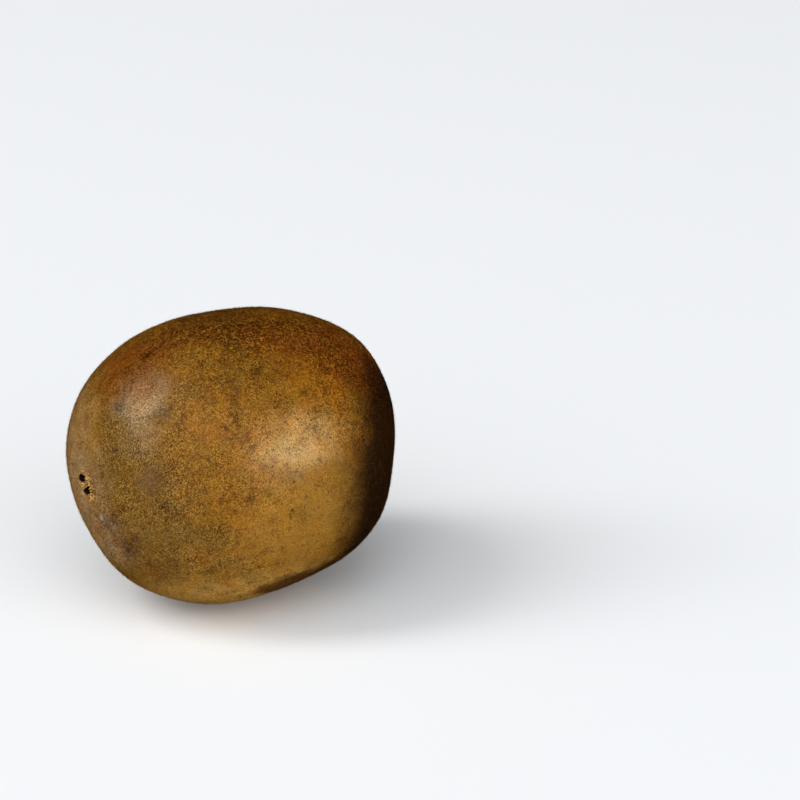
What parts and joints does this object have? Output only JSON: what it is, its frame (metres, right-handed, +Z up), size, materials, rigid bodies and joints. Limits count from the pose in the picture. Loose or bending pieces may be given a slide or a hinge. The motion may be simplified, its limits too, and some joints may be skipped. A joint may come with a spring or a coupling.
{
  "type": "monk fruit",
  "caption": "Whole dried monk fruit: a slightly dented egg-shaped rind with a pitted round stem scar and a small blossom scar, lying on its side.",
  "frame": {"origin": "middle of the fruit's footprint, on the surface that it lies on", "axes": "+X along the fruit's long axis from the stem scar to the blossom scar, +Z up"},
  "size_m": [0.062, 0.0534, 0.0534],
  "materials": {
    "dry_rind": "dry olive-brown rind with a short soft nap, dull gloss and dark mottling"
  },
  "bodies": {
    "root": {"monk_fruit": "dry_rind"}
  },
  "joints": []
}
